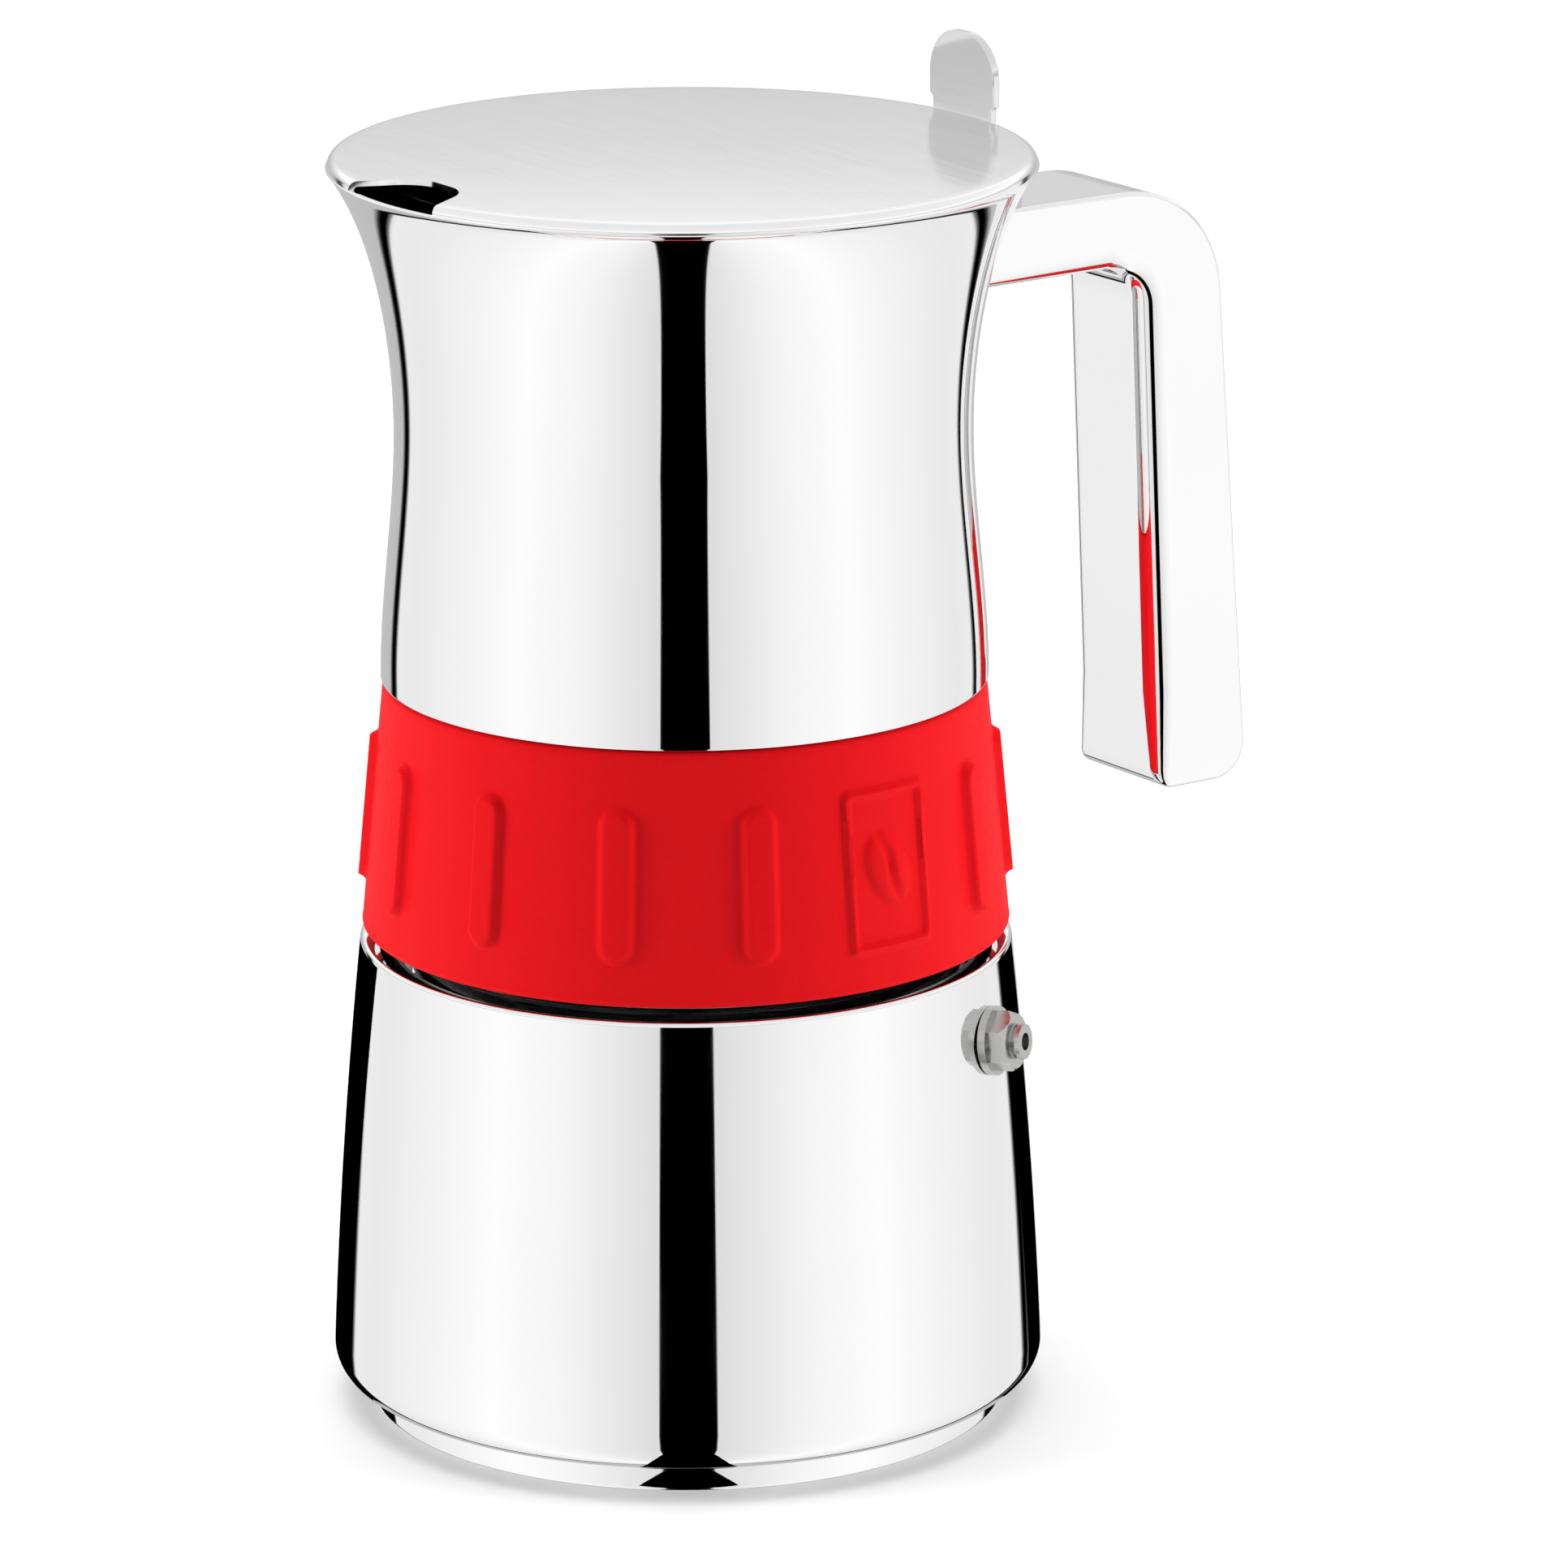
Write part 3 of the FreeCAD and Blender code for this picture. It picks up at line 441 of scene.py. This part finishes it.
def grained(name, light, dark, smooth, dull, stretch, scale=60.0, metal=1.0, depth=0.00003, strength=0.3):
    """A satin metal or a moulded skin: a grain stretched by the tool that made it."""
    material = bpy.data.materials.new(name)
    material.use_nodes = True
    tree = material.node_tree
    shader = tree.nodes["Principled BSDF"]
    shader.inputs["Metallic"].default_value = metal
    place = tree.nodes.new("ShaderNodeTexCoord")
    pull = tree.nodes.new("ShaderNodeMapping")
    pull.inputs["Scale"].default_value = stretch
    link(place, "Object", pull, "Vector", tree)
    grain = tree.nodes.new("ShaderNodeTexNoise")
    grain.inputs["Scale"].default_value = scale
    grain.inputs["Detail"].default_value = 5.0
    grain.inputs["Roughness"].default_value = 0.6
    link(pull, "Vector", grain, "Vector", tree)
    tone = tree.nodes.new("ShaderNodeMixRGB")
    tone.inputs["Color1"].default_value = (*dark, 1)
    tone.inputs["Color2"].default_value = (*light, 1)
    link(grain, "Fac", tone, "Fac", tree)
    link(tone, "Color", shader, "Base Color", tree)
    rough = tree.nodes.new("ShaderNodeMapRange")
    rough.inputs["From Min"].default_value = 0.3
    rough.inputs["From Max"].default_value = 0.7
    rough.inputs["To Min"].default_value = smooth
    rough.inputs["To Max"].default_value = dull
    link(grain, "Fac", rough, "Value", tree)
    link(rough, "Result", shader, "Roughness", tree)
    bump = tree.nodes.new("ShaderNodeBump")
    bump.inputs["Strength"].default_value = strength
    bump.inputs["Distance"].default_value = depth
    link(grain, "Fac", bump, "Height", tree)
    link(bump, "Normal", shader, "Normal", tree)
    return material


def coat(material, *nodes):
    """Gives CAD nodes whose shape is right a better finish."""
    for node in nodes:
        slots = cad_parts[node].data.materials
        slots.clear()
        slots.append(material)


coat(grained("rolled_aluminium", (0.78, 0.78, 0.79), (0.66, 0.66, 0.68), 0.25, 0.42, (1, 14, 1)), "base_disc")

# ---------------------------------------------------------------- safety valve
# A stock valve turned from brass bar and nickel plated: flange, hexagon and nipple outside,
# a seal and a back nut inside, and a sprung piston on a pressed-in seat.

valve_plate = grained("nickel_plate", (0.66, 0.66, 0.65), (0.44, 0.44, 0.435), 0.20, 0.38, (1, 1, 5), scale=220.0)
coat(valve_plate, "valve_body", "valve_nut", "valve_seat")
piston_brass = grained("turned_piston", (0.60, 0.56, 0.48), (0.44, 0.41, 0.35), 0.18, 0.36, (1, 1, 5), scale=220.0)
coat(piston_brass, "valve_piston")
coat(grained("drawn_wire", (0.55, 0.55, 0.57), (0.40, 0.40, 0.42), 0.15, 0.3, (1, 1, 1), scale=400.0), "valve_spring")

# ---------------------------------------------------------------- funnel
# The loose funnel: a spun satin basket for the coffee with a punched sieve in its bottom,
# and the tube that the water climbs.

spun_satin = grained("spun_satin_steel", (0.74, 0.74, 0.745), (0.60, 0.60, 0.61), 0.20, 0.36, (1, 1, 22))
coat(spun_satin, "funnel_basket", "funnel_tube")
coat(grained("punched_steel", (0.72, 0.72, 0.73), (0.58, 0.58, 0.59), 0.24, 0.40, (1, 16, 1)),
     "funnel_sieve", "filter_plate")

# ---------------------------------------------------------------- gasket
# The white silicone ring that seals the two vessels, a little milky, with the valve's seal
# in the same stuff.

coat(grained("white_silicone_seal", (0.90, 0.89, 0.86), (0.82, 0.80, 0.76), 0.42, 0.62, (1, 1, 1), metal=0.0,
             scale=140.0), "gasket", "valve_seal")

# ---------------------------------------------------------------- collector
# The upper vessel, drawn waisted from 0.8 mm sheet and mirror polished outside. A seat for
# the silicone band is rolled in at the foot, and the floor and thread ring are welded inside.

collector_low, collector_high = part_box("collector_shell")
band_low, band_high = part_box("silicone_band")
rim_height = collector_high.z
lip_height = collector_low.z
rim_radius = collector_high.x
band_bottom = band_low.z
band_top = band_high.z
band_bottom_radius = 0.0480
band_top_radius = 0.0445
band_thickness = 0.0015
collector_wall = 0.0008
body_foot_radius = 0.0448
waist_radius = 0.0424
waist_height = 0.1485
ledge_rise = 0.00025
rim_edge = 0.00025


def band_radius(height):
    share = (height - band_bottom) / (band_top - band_bottom)
    return band_bottom_radius + (band_top_radius - band_bottom_radius) * share


def body_radius(height):
    """The waisted side: a soft shoulder above the band and a horn that opens to the rim."""
    if height < waist_height:
        share = (waist_height - height) / (waist_height - band_top)
        return waist_radius + (body_foot_radius - waist_radius) * share ** 2 * (3 - 2 * share)
    share = (height - waist_height) / (rim_height - waist_height)
    return waist_radius + (rim_radius - waist_radius) * (0.78 * share ** 2 + 0.22 * share ** 6)


def collector_side(inset, low, high, count=72):
    points = []
    for index in range(count + 1):
        height = low + (high - low) * index / count
        points.append((body_radius(height) - inset, height))
    return points


def collector_skin(inset):
    """The wall's outline from the lower lip over the band's seat up to the rim."""
    seat_low = band_radius(lip_height) - band_thickness - inset
    seat_high = band_radius(band_top) - band_thickness - inset
    ledge = band_top + ledge_rise + inset
    edge = 0.0003 if inset == 0 else 0
    points = [(seat_low, lip_height), (seat_high, band_top + inset * 0.3)]
    points += arc(body_foot_radius - inset - edge, ledge + edge, edge, -90, 0, 4) if edge else []
    return points + collector_side(inset, ledge + edge + 0.0001, rim_height - rim_edge * (inset == 0))


collector_polish = polish("polished_collector_steel")
collector_wall_outline = collector_skin(0)
collector_wall_outline += arc(rim_radius - rim_edge, rim_height - rim_edge, rim_edge, 20, 90, 4)
collector_wall_outline += collector_skin(collector_wall)[::-1]
finish_piece("collector_body", turned(collector_wall_outline, 288), "collector", collector_polish,
             ["collector_shell"])
coat(spun_satin, "collector_floor", "thread_ring")

# ---------------------------------------------------------------- column
# The coffee column stands on the floor, flared where it is welded, with a slot on each side
# and a domed cap that turns the coffee down.

coat(spun_satin, "column", "column_cap")

# ---------------------------------------------------------------- silicone band
# The grip band, moulded in red silicone and stretched into its seat. Soft upright ribs stand
# proud all round, and one place holds a small frame with a plain coffee bean.

rib_places = 14
rib_turn = math.radians(-8.36)
badge_place = 11
rib_half_width = 0.0027
rib_half_length = 0.0114
rib_proud = 0.0012
rib_blend = 0.0008
rib_middle = band_top - 0.0195
badge_half_width = 0.0075
badge_half_length = 0.0120
badge_border = 0.0011
badge_proud = 0.0007
badge_blend = 0.00035
bean_half_width = 0.0038
bean_half_length = 0.0058
bean_lean = math.radians(24)
bean_crease = 0.0006
band_edge = 0.0006


def rise_across(distance, blend):
    """0 outside an outline and 1 inside it, with a soft slope inwards."""
    share = min(max(-distance / blend, 0.0), 1.0)
    return share * share * (3 - 2 * share)


def box_distance(across, up, half_width, half_length, round_corner):
    out_x = abs(across) - half_width + round_corner
    out_z = abs(up) - half_length + round_corner
    outside = math.hypot(max(out_x, 0), max(out_z, 0))
    return outside + min(max(out_x, out_z), 0) - round_corner


def badge_lift(across, up):
    frame_outer = rise_across(box_distance(across, up, badge_half_width, badge_half_length, 0.001), badge_blend)
    frame_inner = rise_across(box_distance(across, up, badge_half_width - badge_border,
                                           badge_half_length - badge_border, 0.0007), badge_blend)
    bean_x = across * math.cos(bean_lean) + up * math.sin(bean_lean)
    bean_z = up * math.cos(bean_lean) - across * math.sin(bean_lean)
    round_bean = 1 - (bean_x / bean_half_width) ** 2 - (bean_z / bean_half_length) ** 2
    dome = math.sqrt(round_bean) if round_bean > 0 else 0.0
    curve = bean_crease * math.sin(bean_z / bean_half_length * math.pi)
    crease = math.exp(-((bean_x - curve) / bean_crease) ** 2)
    return badge_proud * (frame_outer - frame_inner) + 0.0010 * dome * (1 - 0.8 * crease)


def rib_lift(across, up):
    end = max(abs(up) - rib_half_length + rib_half_width, 0)
    return rib_proud * rise_across(math.hypot(across, end) - rib_half_width, rib_blend)


def band_mesh():
    rows = 84
    low_edge = band_bottom_radius - band_edge
    outline = [(band_bottom_radius - band_thickness, band_bottom), (low_edge, band_bottom)]
    outline += arc(low_edge, band_bottom + band_edge, band_edge, -90, 0, 4)[1:]
    low = band_bottom + band_edge
    high = band_top - band_edge
    for row in range(1, rows):
        height = low + (high - low) * row / rows
        outline.append((band_radius(height), height))
    high_edge = band_top_radius - band_edge
    outline += arc(high_edge, high, band_edge, 0, 90, 4)
    outline.append((band_top_radius - band_thickness, band_top))
    mesh = turned(outline, 720)
    pitch = 2 * math.pi / rib_places
    for vert in mesh.verts:
        height = vert.co.z
        radius = math.hypot(vert.co.x, vert.co.y)
        if radius < band_radius(height) - 0.0001:
            continue
        bearing = math.atan2(vert.co.y, vert.co.x) - rib_turn
        place = round(bearing / pitch)
        across = radius * (bearing - place * pitch)
        lift = badge_lift if place % rib_places == badge_place else rib_lift
        vert.co.xy *= 1 + lift(across, height - rib_middle) / radius
    return mesh


def moulded_red():
    """Semi-matt red silicone with a fine moulded skin."""
    material = grained("red_silicone", (0.62, 0.0035, 0.007), (0.53, 0.003, 0.005), 0.50, 0.62, (1, 1, 1), metal=0.0,
                       scale=900.0, depth=0.00002, strength=0.25)
    shader = material.node_tree.nodes["Principled BSDF"]
    shader.inputs["Specular IOR Level"].default_value = 0.08
    return material


finish_piece("grip_band", band_mesh(), "collector", moulded_red(), ["silicone_band"], crease=60)

# ---------------------------------------------------------------- handle
# A hooked bar folded from polished sheet, welded to the upper vessel at its arm and free at
# its lower end. Its outer edges are crisp, and the edges that the fingers meet are rounded.

handle_low, handle_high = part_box("handle_shell")
handle_width = handle_high.y - handle_low.y
handle_top = handle_high.z
handle_bottom = handle_low.z
arm_depth = 0.0120
handle_bend = 0.0180
inner_bend = 0.0060
toe = 0.0055
heel = 0.0030
outer_round = 0.0007
inner_round = 0.0038
heel_round = 0.0024
outer_lean = 0.078
inner_lean = 0.046
grip_outer_at_top = rim_radius + 0.0382
grip_inner_at_top = rim_radius + 0.0242


def grip_outer(height):
    return grip_outer_at_top + outer_lean * (handle_top - height)


def grip_inner(height):
    return grip_inner_at_top + inner_lean * (handle_top - height)


def handle_outline():
    """The hook seen from the side, as (x, z, edge rounding), from the arm's underside round to its top."""
    under = handle_top - arm_depth
    bend_x = grip_outer(handle_top - handle_bend) - handle_bend
    toe_x = grip_outer(handle_bottom + toe) - toe
    heel_x = grip_inner(handle_bottom + heel) + heel
    inner_x = grip_inner(under - inner_bend) - inner_bend
    points = [(waist_radius, under, inner_round)]
    points += [(x, z, inner_round) for x, z in arc(inner_x, under - inner_bend, inner_bend, 90, 0, 16)]
    low = handle_bottom + heel
    high = under - inner_bend
    for index in range(1, 24):
        height = high + (low - high) * index / 24
        near_end = min(1.0, (height - low) / 0.012)
        points.append((grip_inner(height), height, heel_round + (inner_round - heel_round) * near_end))
    turn = arc(heel_x, low, heel, 180, 270, 10)
    for index, (x, z) in enumerate(turn):
        points.append((x, z, heel_round + (outer_round - heel_round) * index / 10))
    outer = arc(toe_x, handle_bottom + toe, toe, -88, 0, 12)
    outer += arc(bend_x, handle_top - handle_bend, handle_bend, 2, 90, 28)
    outer.append((waist_radius, handle_top))
    return points + [(x, z, outer_round) for x, z in outer]


def padded_bar(points, width, steps=8):
    """A flat-sided bar of an outline across Y, each place on its edges with its own rounding."""
    inward = []
    for index, (x, z, radius) in enumerate(points):
        after = points[(index + 1) % len(points)]
        before = Vector((x, z)) - Vector(points[index - 1][:2])
        along = (before.normalized() + (Vector(after[:2]) - Vector((x, z))).normalized()).normalized()
        inward.append(Vector((-along.y, along.x)) * radius)
    turns = [math.pi / 2 * index / steps for index in range(steps + 1)]
    mesh = bmesh.new()
    rings = []
    for side, turn in [(-1, turn) for turn in turns] + [(1, turn) for turn in reversed(turns)]:
        ring = []
        for (x, z, radius), inset in zip(points, inward):
            place = Vector((x, z)) + inset * (1 - math.sin(turn))
            ring.append(mesh.verts.new((place.x, side * (width / 2 - radius * (1 - math.cos(turn))), place.y)))
        rings.append(ring)
    for ring, after in zip(rings, rings[1:]):
        for index in range(len(points)):
            follow = (index + 1) % len(points)
            mesh.faces.new((ring[index], ring[follow], after[follow], after[index]))
    mesh.faces.new(rings[0])
    mesh.faces.new(rings[-1])
    bmesh.ops.recalc_face_normals(mesh, faces=mesh.faces)
    return mesh


def extruded(points, width):
    """An (x, z) outline made a flat-sided bar across Y."""
    mesh = bmesh.new()
    face = mesh.faces.new([mesh.verts.new((x, -width / 2, z)) for x, z in points])
    grown = bmesh.ops.extrude_face_region(mesh, geom=[face])
    moved = [item for item in grown["geom"] if isinstance(item, bmesh.types.BMVert)]
    bmesh.ops.translate(mesh, verts=moved, vec=(0, width, 0))
    bmesh.ops.recalc_face_normals(mesh, faces=mesh.faces)
    return mesh


def rounded(mesh, edges, offset, segments):
    bmesh.ops.bevel(mesh, geom=edges, offset=offset, offset_type="OFFSET", segments=segments, profile=0.5,
                    affect="EDGES", material=-1, clamp_overlap=True)


def weigh(piece):
    """Keeps the flats optically flat beside their rounded edges."""
    modifier = piece.modifiers.new("flat_faces", "WEIGHTED_NORMAL")
    modifier.keep_sharp = True
    modifier.weight = 90


def trimmed(mesh, cutter):
    """The mesh with the cutter's solid taken away."""
    shapes = []
    for shape in (mesh, cutter):
        data = bpy.data.meshes.new("trim")
        shape.to_mesh(data)
        shape.free()
        shapes.append(bpy.data.objects.new("trim", data))
        bpy.context.scene.collection.objects.link(shapes[-1])
    cut = shapes[0].modifiers.new("cut", "BOOLEAN")
    cut.object = shapes[1]
    cut.solver = "EXACT"
    bpy.context.view_layer.update()
    result = bmesh.new()
    result.from_object(shapes[0], bpy.context.evaluated_depsgraph_get())
    for shape in shapes:
        bpy.data.objects.remove(shape)
    return result


def handle_mesh():
    vessel = turned([(0, band_top)] + collector_side(0.0004, band_top, rim_height) + [(0, rim_height)], 144)
    bmesh.ops.recalc_face_normals(vessel, faces=vessel.faces)
    return trimmed(padded_bar(handle_outline(), handle_width), vessel)


handle_polish = polish("polished_handle_steel", wave=0.01)
handle_bar = finish_piece("handle_bar", handle_mesh(), "collector", handle_polish,
                          ["handle_shell"], crease=40)
weigh(handle_bar)
coat(spun_satin, "handle_bracket", "hinge_bracket", "hinge_pin")

# ---------------------------------------------------------------- lid
# A flat lid pressed from 0.8 mm sheet with its edge rolled down, satin on top, and notched
# over the pouring side.

lid_low, lid_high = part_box("lid")
lid_base = lid_low.z
lid_radius = max(lid_high.x, -lid_low.y)
lid_crown = lid_high.z
lid_sheet = 0.0008
lid_edge = 0.00135
lid_rise = lid_crown - lid_base - lid_edge
notch_depth = 0.0104
notch_floor_half = 0.00575
notch_mouth_half = 0.0117
notch_round = 0.0036
notch_overrun = 0.002
notch_cut_height = 0.008


def lid_mesh():
    shoulder = lid_radius - lid_edge
    rows = 30
    top = []
    for row in range(rows):
        radius = shoulder * row / rows
        top.append((radius, lid_crown - lid_rise * (radius / shoulder) ** 2))
    outer = arc(shoulder, lid_base, lid_edge, 90, 0, 10)
    inner = arc(shoulder, lid_base, lid_edge - lid_sheet, 0, 90, 4)
    under = [(radius, height - lid_sheet) for radius, height in reversed(top)]
    lid = turned(top + outer + inner + under, 288)
    bmesh.ops.remove_doubles(lid, verts=lid.verts, dist=1e-6)
    bmesh.ops.recalc_face_normals(lid, faces=lid.faces)
    floor_x = notch_depth - lid_radius
    slope = (notch_mouth_half - notch_floor_half) / notch_depth
    mouth_x = -lid_radius - notch_overrun
    mouth_half = notch_floor_half + slope * (floor_x - mouth_x)
    wedge = bmesh.new()
    base = [(floor_x, -notch_floor_half), (mouth_x, -mouth_half), (mouth_x, mouth_half), (floor_x, notch_floor_half)]
    face = wedge.faces.new([wedge.verts.new((x, y, lid_base - notch_overrun)) for x, y in base])
    grown = bmesh.ops.extrude_face_region(wedge, geom=[face])
    bmesh.ops.translate(wedge, verts=[item for item in grown["geom"] if isinstance(item, bmesh.types.BMVert)],
                        vec=(0, 0, notch_cut_height))
    upright = [edge for edge in wedge.edges
               if abs(edge.verts[0].co.z - edge.verts[1].co.z) > 0.001 and edge.verts[0].co.x > mouth_x + 0.001]
    rounded(wedge, upright, notch_round, 10)
    bmesh.ops.recalc_face_normals(wedge, faces=wedge.faces)
    return trimmed(lid, wedge)


lid_satin = grained("satin_lid_steel", (0.97, 0.97, 0.97), (0.93, 0.93, 0.935), 0.10, 0.16, (30, 1.2, 1),
                    scale=24.0, depth=0.00001, strength=0.15)
finish_piece("lid_plate", lid_mesh(), "lid", lid_satin, ["lid"], crease=35)

# ---------------------------------------------------------------- lid lever
# One polished strip: it wraps the hinge pin, rises over the rim and is welded to the lid,
# and its wide round-cornered tab is pushed with the thumb.

lever_low, lever_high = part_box("lid_lever")
tab_front = lever_low.x
leaf_thickness = 0.0012
tab_width = lever_high.y - lever_low.y
tab_top = lever_high.z
neck_width = 0.0144
neck_top_z = lid_base + lid_edge + 0.0016
tab_round = 0.0068
strip_width = 0.0078
lever_soft = 0.00022
pin_x = rim_radius + 0.0024
pin_z = rim_height - 0.0044
knuckle_radius = 0.0026
pin_bore = 0.00155


def lever_mesh():
    half = tab_width / 2
    neck = neck_width / 2
    seat = lid_base + lid_edge - 0.0005
    outline = [(-neck, seat), (-neck, neck_top_z), (-half, neck_top_z + 0.0006)]
    outline += [(-y, z) for y, z in arc(half - tab_round, tab_top - tab_round, tab_round, 0, 90, 14)]
    outline += arc(half - tab_round, tab_top - tab_round, tab_round, 90, 0, 14)
    outline += [(half, neck_top_z + 0.0006), (neck, neck_top_z), (neck, seat)]
    mesh = bmesh.new()
    face = mesh.faces.new([mesh.verts.new((tab_front, y, z)) for y, z in outline])
    grown = bmesh.ops.extrude_face_region(mesh, geom=[face])
    bmesh.ops.translate(mesh, verts=[item for item in grown["geom"] if isinstance(item, bmesh.types.BMVert)],
                        vec=(leaf_thickness, 0, 0))
    bmesh.ops.recalc_face_normals(mesh, faces=mesh.faces)
    flat = [edge for edge in mesh.edges if abs(edge.verts[0].co.x - edge.verts[1].co.x) < 1e-6]
    rounded(mesh, flat, lever_soft, 3)

    leaf_back = rim_radius + 0.0005
    lid_top = lid_base + lid_edge
    strip = [(leaf_back, pin_z), (leaf_back + leaf_thickness, pin_z)]
    strip += arc(leaf_back + leaf_thickness - 0.0010, lid_top + leaf_thickness - 0.0010, 0.0010, 0, 90, 6)
    strip += [(tab_front + 0.0004, lid_top + leaf_thickness), (tab_front + 0.0004, lid_top), (leaf_back, lid_top)]
    leaf = extruded(strip, strip_width)
    knuckle = bmesh.new()
    ring = [knuckle.verts.new((pin_x + knuckle_radius, y, pin_z)) for y in (-strip_width / 2, strip_width / 2)]
    ring += [knuckle.verts.new((pin_x + pin_bore, y, pin_z)) for y in (strip_width / 2, -strip_width / 2)]
    sides = [knuckle.edges.new((ring[index], ring[(index + 1) % 4])) for index in range(4)]
    bmesh.ops.spin(knuckle, geom=ring + sides, cent=(pin_x, 0, pin_z), axis=(0, 1, 0), angle=2 * math.pi, steps=48,
                   use_merge=True)
    for extra in (leaf, knuckle):
        bmesh.ops.recalc_face_normals(extra, faces=extra.faces)
        data = bpy.data.meshes.new("lever_part")
        extra.to_mesh(data)
        extra.free()
        mesh.from_mesh(data)
        bpy.data.meshes.remove(data)
    return mesh


lever_polish = polish("polished_lever_steel", light=0.80, dark=0.74, smooth=0.03, dull=0.07)
weigh(finish_piece("thumb_lever", lever_mesh(), "lid", lever_polish, ["lid_lever"], crease=40))
